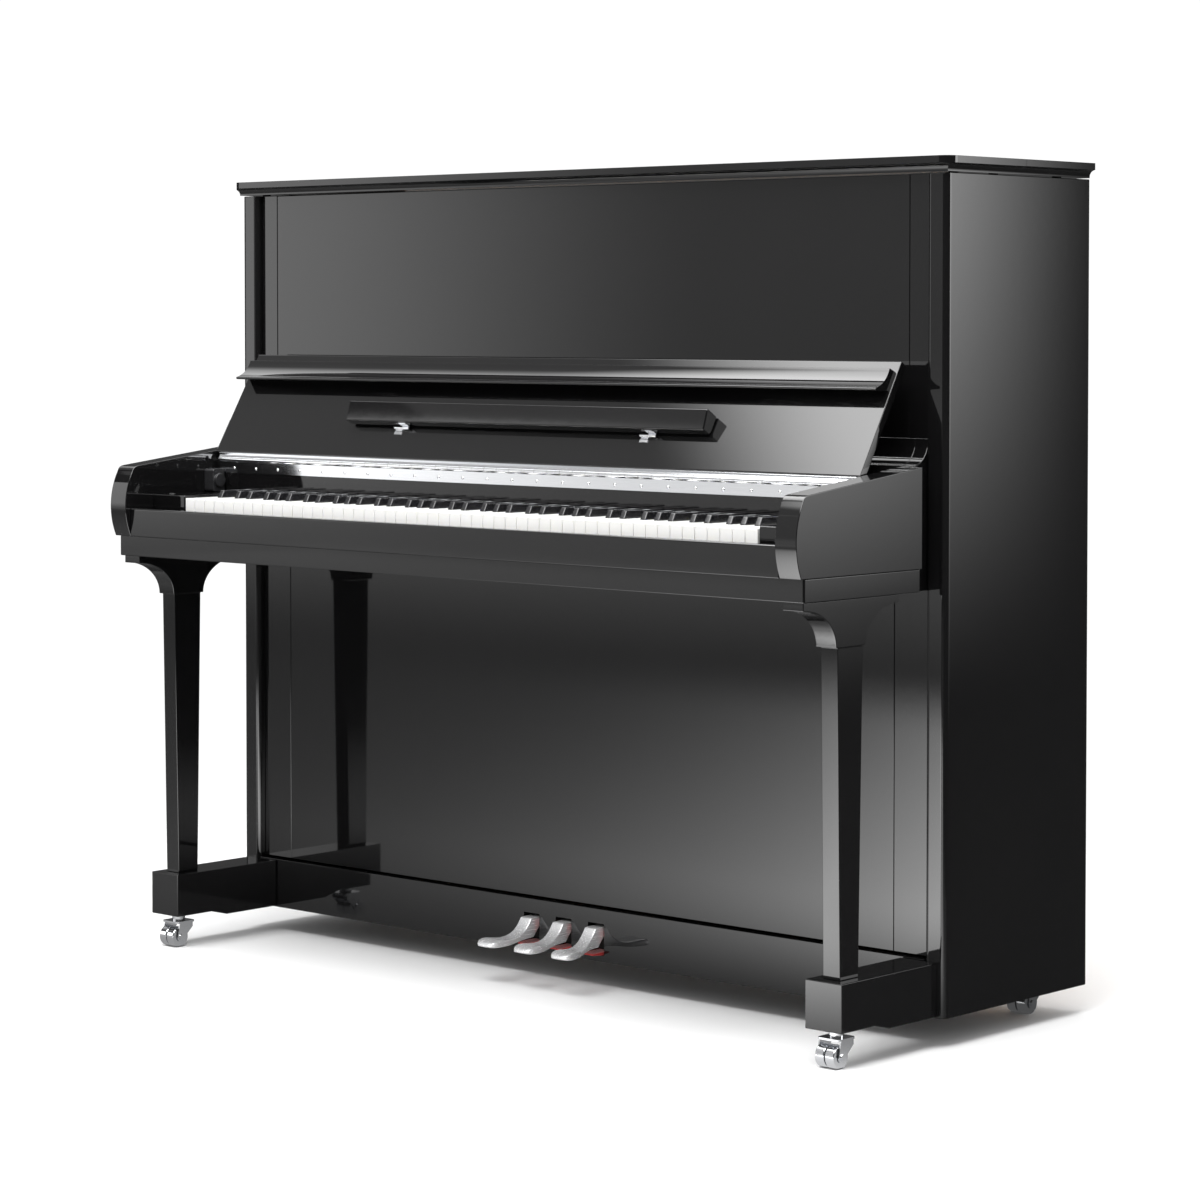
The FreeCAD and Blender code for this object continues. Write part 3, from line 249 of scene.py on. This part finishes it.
# ------------------------------------------------------------------ soundboard
# Quarter-sawn spruce, glued up from narrow boards and varnished, with ribs behind and bridges in front.
# The grain runs the long way and is very straight and close.
spruce = Finish("varnished_spruce", {"Coat Weight": 0.55, "Coat Roughness": 0.12})
close_grain = spruce.noise(spruce.place((1.2, 1.0, 340.0)), 1.0, 2.0, 0.45)
board_tint = spruce.noise(spruce.place((0.2, 0.2, 9.0)), 1.0, 0.0)
spruce_share = spruce.within(0.62 * close_grain + 0.38 * board_tint, 0.32, 0.72)
soundboard_look = spruce.lay(spruce.between(spruce_share, (0.60, 0.40, 0.20), (0.42, 0.235, 0.095)),
                             0.30 + 0.15 * close_grain, close_grain, 0.00008)
soften("soundboard", soundboard_look, 0.0012, 2)

# ------------------------------------------------------------------ iron plate
# Cast iron with struts, sprayed in bronze powder and lacquered. The casting skin is slightly pebbled.
bronze = Finish("bronzed_cast_iron", {"Metallic": 0.72, "Coat Weight": 0.4, "Coat Roughness": 0.2})
cast_skin = bronze.noise(bronze.place(), 240.0, 3.0, 0.6)
cast_cloud = bronze.noise(bronze.place(), 9.0, 2.0)
plate_look = bronze.lay(bronze.between(cast_cloud, (0.50, 0.335, 0.12), (0.36, 0.235, 0.085)),
                        0.34 + 0.16 * cast_skin, cast_skin, 0.00025)
soften("iron_plate", plate_look, 0.003, 3)

# ------------------------------------------------------------------ strings and tuning pins
# Drawn steel wire, and copper-wound wire at the bass end. The pins are blued steel with square heads,
# driven through the plate into the wrest plank.
wire = Finish("music_wire", {"Metallic": 1.0})
across = wire.add("ShaderNodeSeparateXYZ", {}, {0: wire.place()}, out=0)
winding = wire.noise(wire.place((60.0, 60.0, 2600.0)), 1.0, 0.0)
bass_break = -0.33
wire_look = wire.lay(wire.between(across < bass_break, (0.60, 0.60, 0.60), (0.60, 0.27, 0.13)),
                     0.22 + 0.12 * winding, winding, 0.00006)
dress(wire_look, "strings")
blued = Finish("blued_steel", {"Metallic": 1.0})
blue_cloud = blued.noise(blued.place(), 320.0, 1.0)
pin_look = blued.lay(blued.between(blue_cloud, (0.17, 0.18, 0.21), (0.30, 0.30, 0.32)),
                     0.26 + 0.14 * blue_cloud, blue_cloud, 0.00003)
dress(pin_look, "tuning_pins")

# ------------------------------------------------------------------ black polyester case
# The case is board sprayed with black polyester, sanded flat and buffed to a mirror. The lacquer is
# thick, so edges are softly rounded, and the film has a trace of orange peel and faint buffing haze.
lacquer = Finish("black_polyester_lacquer", {"IOR": 1.52})
peel = lacquer.noise(lacquer.place(), 70.0, 1.0)
haze = lacquer.noise(lacquer.place(), 3.1, 3.0, 0.55)
buffing = lacquer.noise(lacquer.place((420.0, 420.0, 36.0)), 1.0, 2.0, 0.6)
black_polyester = lacquer.lay(lacquer.between(haze, (0.0030, 0.0030, 0.0032), (0.0056, 0.0054, 0.0056)),
                              0.018 + 0.035 * haze + 0.015 * buffing, peel, 0.000008)

for case_part in ("side_panel_left", "side_panel_right"):
    soften(case_part, black_polyester, 0.0012, 3)
for case_part in ("case_stiles", "plinth_rail", "cove_rail", "nameboard_strip"):
    soften(case_part, black_polyester, 0.0010, 3)

# ------------------------------------------------------------------ upper and lower panels
# Two flat doors set back between the stiles, lacquered like the case. The lower one tips forward on a
# bevelled foot and lifts out.
for door in ("upper_panel", "lower_panel"):
    soften(door, black_polyester, 0.0011, 3)

# ------------------------------------------------------------------ lid
# A front flap and a fixed rear half, joined by a long hinge. The front edge is moulded with a cove under
# a rounded nose, and the corners are rounded in plan.
for lid_half in ("lid_front", "lid_rear"):
    soften(lid_half, black_polyester, 0.0013, 3)

# ------------------------------------------------------------------ keybed, arms and slip
# The keybed sits on a moulding between the arms. Each arm is shaped from thick board, with a bull nose
# and a scooped top that runs up into the case.
for shelf_part in ("keybed", "keybed_moulding", "key_slip", "key_blocks"):
    soften(shelf_part, black_polyester, 0.0014, 3)
for arm in ("arm_left", "arm_right"):
    soften(arm, black_polyester, 0.0032, 5, sharp=24.0)

# ------------------------------------------------------------------ legs and toe blocks
# Tapered legs glued up in one with a curved capital, standing on toe blocks that run back to the case.
for foot in ("leg_left", "leg_right", "toe_block_left", "toe_block_right"):
    soften(foot, black_polyester, 0.0016, 3, sharp=24.0)

# ------------------------------------------------------------------ fallboard, lip and music shelf
# The fallboard is one slanted board with a rolled lip along its top and a narrow folding shelf for the
# music, all lacquered.
soften("fallboard", black_polyester, 0.0015, 3)
hinge_line = Vector((0.0, -0.141, 0.8212))
board_setback = 103.0
board_length = 201.0
lean = asin(board_setback / board_length)


def on_board(along, out):
    """A point of the open fallboard: distance up from its hinge, and out from its middle plane."""
    return Vector((0.0, hinge_line.y + sin(lean) * along - cos(lean) * out,
                   hinge_line.z + cos(lean) * along + sin(lean) * out))


# Round the lip: top, hollow face, quirk, bead and underside.
hollow_radius = 0.0436
hollow_turn = radians(10)
bead_radius = 0.0021
bead_along = 0.1396
bead_out = 0.0324
hollow = [(0.1803 - hollow_radius * (sin(radians(turn)) + sin(hollow_turn)),
           0.0208 + hollow_radius * (cos(hollow_turn) - cos(radians(turn)))) for turn in range(-10, 46, 5)]
bead = [(bead_along + bead_radius * cos(radians(turn)), bead_out + bead_radius * sin(radians(turn)))
        for turn in range(0, 181, 20)]
lip_profile = ([(0.1828, 0.0068), (0.1812, 0.0196), (0.1808, 0.0204)] + hollow
               + [(hollow[-1][0] - 0.0001, 0.0318)] + bead + [(0.1376, 0.0316), (0.1388, 0.0292),
                  (0.1512, 0.0067)])
lip_half = 0.6855
shape = bmesh.new()
start = shape.faces.new([shape.verts.new(on_board(along, out) - Vector((lip_half, 0, 0)))
                         for along, out in lip_profile])
grown = bmesh.ops.extrude_face_region(shape, geom=[start])
far_end = [item for item in grown["geom"] if isinstance(item, bmesh.types.BMVert)]
bmesh.ops.translate(shape, verts=far_end, vec=(2 * lip_half, 0, 0))
bmesh.ops.recalc_face_normals(shape, faces=shape.faces)
ends = [edge for edge in shape.edges if len(edge.link_faces) == 2
        and any(len(face.verts) > 4 for face in edge.link_faces)]
bmesh.ops.bevel(shape, geom=ends, offset=0.0012, offset_type="OFFSET", segments=3, profile=0.5,
                affect="EDGES", clamp_overlap=True, material=-1)
for face in shape.faces:
    face.smooth = True
lip = build("moulded_lip", shape, black_polyester)
shade_evenly(lip, 40)
stand_for(lip, "fallboard_lip")
soften("music_shelf", black_polyester, 0.0020, 4, sharp=18.0)

# ------------------------------------------------------------------ hinges and screws
# Plated brass piano hinges: bright chrome with faint lengthways polishing marks.
plating = Finish("bright_chrome", {"Metallic": 1.0})
polish_marks = plating.noise(plating.place((14.0, 900.0, 900.0)), 1.0, 2.0, 0.6)
chrome = plating.lay(plating.between(polish_marks, (0.83, 0.84, 0.86), (0.74, 0.75, 0.77)),
                     0.05 + 0.12 * polish_marks, polish_marks, 0.000012)
dress(chrome, "hinge_leaves_fixed", "fallboard_hinge_moving", "lid_hinge_moving", "shelf_knuckles")

# ------------------------------------------------------------------ bumpers and damper
# Moulded black rubber buttons, and a black damper that lets the fallboard down slowly.
rubber = Finish("black_rubber", {"Specular IOR Level": 0.35})
rubber_skin = rubber.noise(rubber.place(), 900.0, 2.0)
rubber_look = rubber.lay(rubber.between(rubber_skin, (0.012, 0.012, 0.012), (0.028, 0.028, 0.028)),
                         0.55 + 0.2 * rubber_skin, rubber_skin, 0.00006)
dress(rubber_look, "bumpers")
damper = Finish("black_damper_plastic", {"Specular IOR Level": 0.5})
damper_skin = damper.noise(damper.place(), 600.0, 2.0)
damper_look = damper.lay(damper.between(damper_skin, (0.010, 0.010, 0.011), (0.022, 0.022, 0.023)),
                         0.24 + 0.16 * damper_skin, damper_skin, 0.00004)
soften("soft_close_damper", damper_look, 0.0006, 2)

# ------------------------------------------------------------------ white keys
# Spruce sticks capped with white acrylic. The caps are buffed, and the front lip and long edges are
# just broken so that they don't catch a finger.
cap = Finish("white_acrylic", {"Coat Weight": 0.35, "Coat Roughness": 0.08, "Subsurface Weight": 0.08,
                               "Subsurface Radius": (0.003, 0.003, 0.002)})
cap_cloud = cap.noise(cap.place((30.0, 3.0, 30.0)), 1.0, 1.0)
cap_marks = cap.noise(cap.place((900.0, 40.0, 900.0)), 1.0, 2.0)
white_cap = cap.lay(cap.between(cap_cloud, (0.90, 0.895, 0.88), (0.86, 0.855, 0.835)),
                    0.16 + 0.14 * cap_marks, cap_marks, 0.000015)
for keys in ("white_keys_bass", "middle_c_key", "white_keys_treble"):
    soften(keys, white_cap, 0.0009, 2)

# ------------------------------------------------------------------ black keys
# Moulded in a satin black with sloping fronts and well rounded tops.
sharp_key = Finish("satin_black_key", {"Coat Weight": 0.25, "Coat Roughness": 0.2})
key_skin = sharp_key.noise(sharp_key.place((500.0, 60.0, 500.0)), 1.0, 2.0)
black_cap = sharp_key.lay(sharp_key.between(key_skin, (0.006, 0.006, 0.007), (0.012, 0.012, 0.013)),
                          0.12 + 0.12 * key_skin, key_skin, 0.00003)
for keys in ("black_keys_bass", "black_keys_treble"):
    soften(keys, black_cap, 0.0013, 3)

# ------------------------------------------------------------------ action and hammers
# Maple shanks and butts, with hammer heads of pressed white wool, on zinc-plated brackets.
wool = Finish("pressed_wool", {"Sheen Weight": 0.3, "Specular IOR Level": 0.2})
height_here = wool.add("ShaderNodeSeparateXYZ", {}, {0: wool.place()}, out=2)
fibres = wool.noise(wool.place((900.0, 500.0, 900.0)), 1.0, 3.0, 0.7)
wool_from = 1.066
hammer_look = wool.lay(wool.between(height_here > wool_from, (0.50, 0.31, 0.15), wool.between(
    fibres, (0.80, 0.78, 0.71), (0.66, 0.63, 0.55))), 0.62 + 0.3 * fibres, fibres, 0.0002)
dress(hammer_look, "hammers", "middle_c_hammer")
zinc = Finish("zinc_plated_steel", {"Metallic": 1.0})
spangle = zinc.noise(zinc.place(), 90.0, 2.0)
bracket_look = zinc.lay(zinc.between(spangle, (0.50, 0.51, 0.52), (0.36, 0.37, 0.38)),
                        0.3 + 0.2 * spangle, spangle, 0.00003)
soften("action_frame", bracket_look, 0.0008, 2)
soften("pedal_brackets", bracket_look, 0.0006, 2)

# ------------------------------------------------------------------ pedals
# Cast, plated and satin polished levers. A broad S-curved tip narrows into a swan neck that rises into
# its felt-lined slot in the plinth, and a straight tail runs back to the trap dowel.
cast_silver = Finish("satin_nickel", {"Metallic": 0.55})
brushing = cast_silver.noise(cast_silver.place((800.0, 30.0, 800.0)), 1.0, 3.0, 0.6)
pedal_look = cast_silver.lay(cast_silver.between(brushing, (0.90, 0.90, 0.91), (0.80, 0.80, 0.81)),
                             0.2 + 0.12 * brushing, brushing, 0.00001)
# Stations from the tip back: distance, underside, top, half width and share of the sideways sweep.
pedal_stations = [(0.0, 0.0612, 0.0648, 0.0120, 1.0), (0.0025, 0.0599, 0.0676, 0.0165, 1.0),
                  (0.0075, 0.0593, 0.0697, 0.0193, 1.0), (0.015, 0.0590, 0.0714, 0.0204, 0.96),
                  (0.024, 0.0591, 0.0715, 0.0199, 0.86), (0.035, 0.0598, 0.0700, 0.0181, 0.69),
                  (0.046, 0.0609, 0.0693, 0.0160, 0.49), (0.056, 0.0626, 0.0708, 0.0141, 0.32),
                  (0.064, 0.0641, 0.0740, 0.0129, 0.19), (0.071, 0.0650, 0.0786, 0.0123, 0.09),
                  (0.077, 0.0657, 0.0843, 0.0122, 0.03), (0.082, 0.0661, 0.0904, 0.0122, 0.0),
                  (0.0862, 0.0664, 0.0965, 0.0122, 0.0), (0.0870, 0.0664, 0.0974, 0.0122, 0.0),
                  (0.0882, 0.0665, 0.0979, 0.0122, 0.0), (0.0925, 0.0665, 0.0983, 0.0122, 0.0),
                  (0.1000, 0.0760, 0.0984, 0.0122, 0.0), (0.1070, 0.0836, 0.0984, 0.0122, 0.0),
                  (0.1500, 0.0836, 0.0984, 0.0122, 0.0), (0.2120, 0.0836, 0.0984, 0.0122, 0.0)]
pedal_spacing = 0.070
tip_sweep = 0.010
for side, pedal in ((-1, "pedal_left"), (0, "pedal_middle"), (1, "pedal_right")):
    low_corner, high_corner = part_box(pedal)
    shape = bmesh.new()
    across = shape.verts.layers.float.new("across")
    upward = shape.verts.layers.float.new("upward")
    bmesh.ops.create_grid(shape, x_segments=4, y_segments=4, size=1.0)
    for vertex in shape.verts:
        vertex[across] = vertex.co.x
        vertex[upward] = vertex.co.y
    lead = shape.faces[:]
    ring = shape.verts[:]
    # The first face stays to close the tip. Each later one goes as soon as the next ring is made.
    for count, (along, under, over, half, share) in enumerate(pedal_stations):
        if count:
            grown = bmesh.ops.extrude_face_region(shape, geom=lead)
            if count > 1:
                bmesh.ops.delete(shape, geom=lead, context="FACES_ONLY")
            lead = [item for item in grown["geom"] if isinstance(item, bmesh.types.BMFace)]
            ring = [item for item in grown["geom"] if isinstance(item, bmesh.types.BMVert)]
        for vertex in ring:
            wide, high = vertex[across], vertex[upward]
            crown = 1.0 - (0.02 + 0.12 * share) * wide ** 4
            vertex.co = (side * pedal_spacing + side * tip_sweep * share
                         + wide * half * (1.0 - 0.05 * high ** 4),
                         low_corner.y + along,
                         (under + over) / 2 + high * (over - under) / 2 * crown)
    for face in shape.faces:
        face.smooth = True
    bmesh.ops.recalc_face_normals(shape, faces=shape.faces)
    lever = build("cast_" + pedal, shape, pedal_look)
    round_over = lever.modifiers.new("Cast edges", "BEVEL")
    round_over.width = 0.0009
    round_over.segments = 3
    round_over.limit_method = "ANGLE"
    round_over.angle_limit = radians(55)
    shade_evenly(lever, 50)
    stand_for(lever, pedal)
dowel_look = timber("turned_beech_dowel", "z", (0.60, 0.42, 0.25), (0.44, 0.27, 0.14), 0.1)
dress(dowel_look, "trap_rod_left", "trap_rod_middle", "trap_rod_right")
felt = Finish("red_bushing_felt", {"Sheen Weight": 0.6, "Sheen Roughness": 0.4, "Specular IOR Level": 0.15})
nap = felt.noise(felt.place(), 1400.0, 3.0, 0.7)
felt_look = felt.lay(felt.between(nap, (0.56, 0.018, 0.014), (0.38, 0.010, 0.010)), 0.75 + 0.2 * nap,
                     nap, 0.0003)
soften("pedal_felts", felt_look, 0.0007, 2)

# ------------------------------------------------------------------ casters
# Chromed steel forks on a swivel collar, each with twin turned brass wheels, chromed too.
caster_plating = Finish("caster_chrome_plating", {"Metallic": 1.0})
turning = caster_plating.noise(caster_plating.place(), 420.0, 2.0)
caster_look = caster_plating.lay(caster_plating.between(turning, (0.80, 0.81, 0.83), (0.70, 0.71, 0.73)),
                                 0.07 + 0.1 * turning, turning, 0.00002)
for corner in ("front_left", "front_right", "rear_left", "rear_right"):
    dress(caster_look, "caster_fork_" + corner, "caster_wheels_" + corner)

# ------------------------------------------------------------------ studio
# A white floor that melts into white paper, a wide soft box overhead, and soft panels either side whose
# light falls off along them. The panels and the paper aren't part of the piano.


def sheet_of_light(name, corners, strength_of):
    """A clear stage panel that glows in gloss only: four corners, and a function for its brightness."""
    shape = bmesh.new()
    shape.faces.new([shape.verts.new(corner) for corner in corners])
    glow = Finish(name + "_glow", {})
    x, y, z = (glow.add("ShaderNodeSeparateXYZ", {}, {0: glow.place()}, out=axis) for axis in range(3))
    light = glow.add("ShaderNodeEmission", {}, {"Strength": strength_of(glow, x, y, z)})
    clear = glow.add("ShaderNodeBsdfTransparent")
    both_ways = glow.add("ShaderNodeAddShader", {}, {0: light, 1: clear})
    glow.tree.links.new(both_ways.socket, glow.tree.nodes["Material Output"].inputs["Surface"])
    panel = build(name, shape, glow.material)
    panel.visible_camera = False
    panel.visible_shadow = False
    panel.visible_diffuse = False


paper = Finish("white_paper", {"Base Color": (0.9, 0.9, 0.9, 1), "Roughness": 0.6,
                               "Specular IOR Level": 0.1})
reach = paper.add("ShaderNodeVectorMath", {"operation": "LENGTH"},
                  {0: paper.place((1.0, 1.15, 0.0))}, out=1)
edge = paper.within(reach, 1.15, 2.3, 1.0, 0.0)
paper.tree.links.new(edge.socket, paper.shader.inputs["Alpha"])
floor_shape = bmesh.new()
bmesh.ops.create_grid(floor_shape, x_segments=1, y_segments=1, size=6.0)
floor = build("floor", floor_shape, paper.material)
floor.visible_glossy = False

overhead = bpy.data.lights.new("overhead_box", "AREA")
overhead.shape = "RECTANGLE"
overhead.size = 3.4
overhead.size_y = 3.0
overhead.energy = 235.0
overhead_holder = bpy.data.objects.new("overhead_box", overhead)
overhead_holder.location = (0.25, -1.0, 3.2)
overhead_holder.visible_glossy = False
bpy.context.scene.collection.objects.link(overhead_holder)


def overhead_glow(glow, x, y, z):
    bright = 8.6 * glow.within(x, -1.95, -1.15) * glow.within(y, 1.5, -0.9) * glow.within(y, -3.6, -2.8)
    behind = 2.2 * glow.within(y, -0.9, 0.2) * glow.within(x, -4.2, -3.0)
    return bright + behind + 0.42


def left_glow(glow, x, y, z):
    broad = (0.45 + 1.75 * glow.within(x, -2.6, -4.7)) * glow.within(z, 0.0, 0.9)
    low = 0.5 * glow.within(z, 0.0, 0.4) * glow.within(z, 1.0, 0.5) * glow.within(x, -4.6, -2.6)
    return broad + low


def right_glow(glow, x, y, z):
    return 6.5 * glow.within(y, 4.15, 2.6) * glow.within(z, 0.0, 1.7)


def floor_glow(glow, x, y, z):
    """Grows towards the treble up to a cap, and fades out beside, close to and far before the piano."""
    brightest = 1.15
    along = x - 0.545 * (y + 0.9)
    falling = glow.add("ShaderNodeMath", {"operation": "MINIMUM"}, {0: 6.7 ** along, 1: brightest})
    return (5.4 * falling * glow.within(x, 1.6, 0.2) * glow.within(y, -4.3, -2.95)
            * glow.within(y, -0.05, -1.0) + 0.22)


sheet_of_light("overhead_glow", [(-4.2, -3.6, 3.0), (-4.2, 2.6, 3.0), (3.2, 2.6, 3.0), (3.2, -3.6, 3.0)],
               overhead_glow)
sheet_of_light("left_panel", [(-6.0, -3.5, 0.0), (-1.2, -3.5, 0.0), (-1.2, -3.5, 3.0), (-6.0, -3.5, 3.0)],
               left_glow)
sheet_of_light("right_panel", [(3.255, 1.2, 0.0), (3.255, 5.0, 0.0), (3.255, 5.0, 2.6), (3.255, 1.2, 2.6)],
               right_glow)
sheet_of_light("front_floor_glow", [(-8.0, -7.5, 0.002), (2.0, -7.5, 0.002), (2.0, -0.02, 0.002),
                                    (-8.0, -0.02, 0.002)], floor_glow)

studio = bpy.data.worlds.new("studio_paper")
bpy.context.scene.world = studio
studio.use_nodes = True
studio_tree = studio.node_tree
studio_ground = studio_tree.nodes["Background"]
ray = studio_tree.nodes.new("ShaderNodeLightPath")
fill = studio_tree.nodes.new("ShaderNodeMapRange")
diffuse_fill, glossy_fill = 0.75, 0.09
fill.inputs["To Min"].default_value = diffuse_fill
fill.inputs["To Max"].default_value = glossy_fill
sky = studio_tree.nodes.new("ShaderNodeMapRange")
paper_white = 1.05
sky.inputs["To Max"].default_value = paper_white
studio_tree.links.new(ray.outputs["Is Glossy Ray"], fill.inputs["Value"])
studio_tree.links.new(ray.outputs["Is Camera Ray"], sky.inputs["Value"])
studio_tree.links.new(fill.outputs[0], sky.inputs["To Min"])
studio_tree.links.new(sky.outputs[0], studio_ground.inputs["Strength"])
studio_ground.inputs["Color"].default_value = (1, 1, 1, 1)

# ------------------------------------------------------------------ camera
# Eye level a little above the keyboard, at the piano's right front, with a long lens.
camera = bpy.data.cameras.new("studio_camera")
camera.sensor_width = 36.0
camera.lens = 103.78
camera.shift_y = -0.13
camera.clip_end = 60.0
camera_holder = bpy.data.objects.new("studio_camera", camera)
camera_holder.location = (3.7322, -4.0389, 1.0602)
tilt_down, turn_left = 0.03653, 0.73777
camera_holder.rotation_euler = (pi / 2 - tilt_down, 0.0, turn_left)
bpy.context.scene.collection.objects.link(camera_holder)
bpy.context.scene.camera = camera_holder
bpy.context.scene.view_settings.view_transform = "Standard"
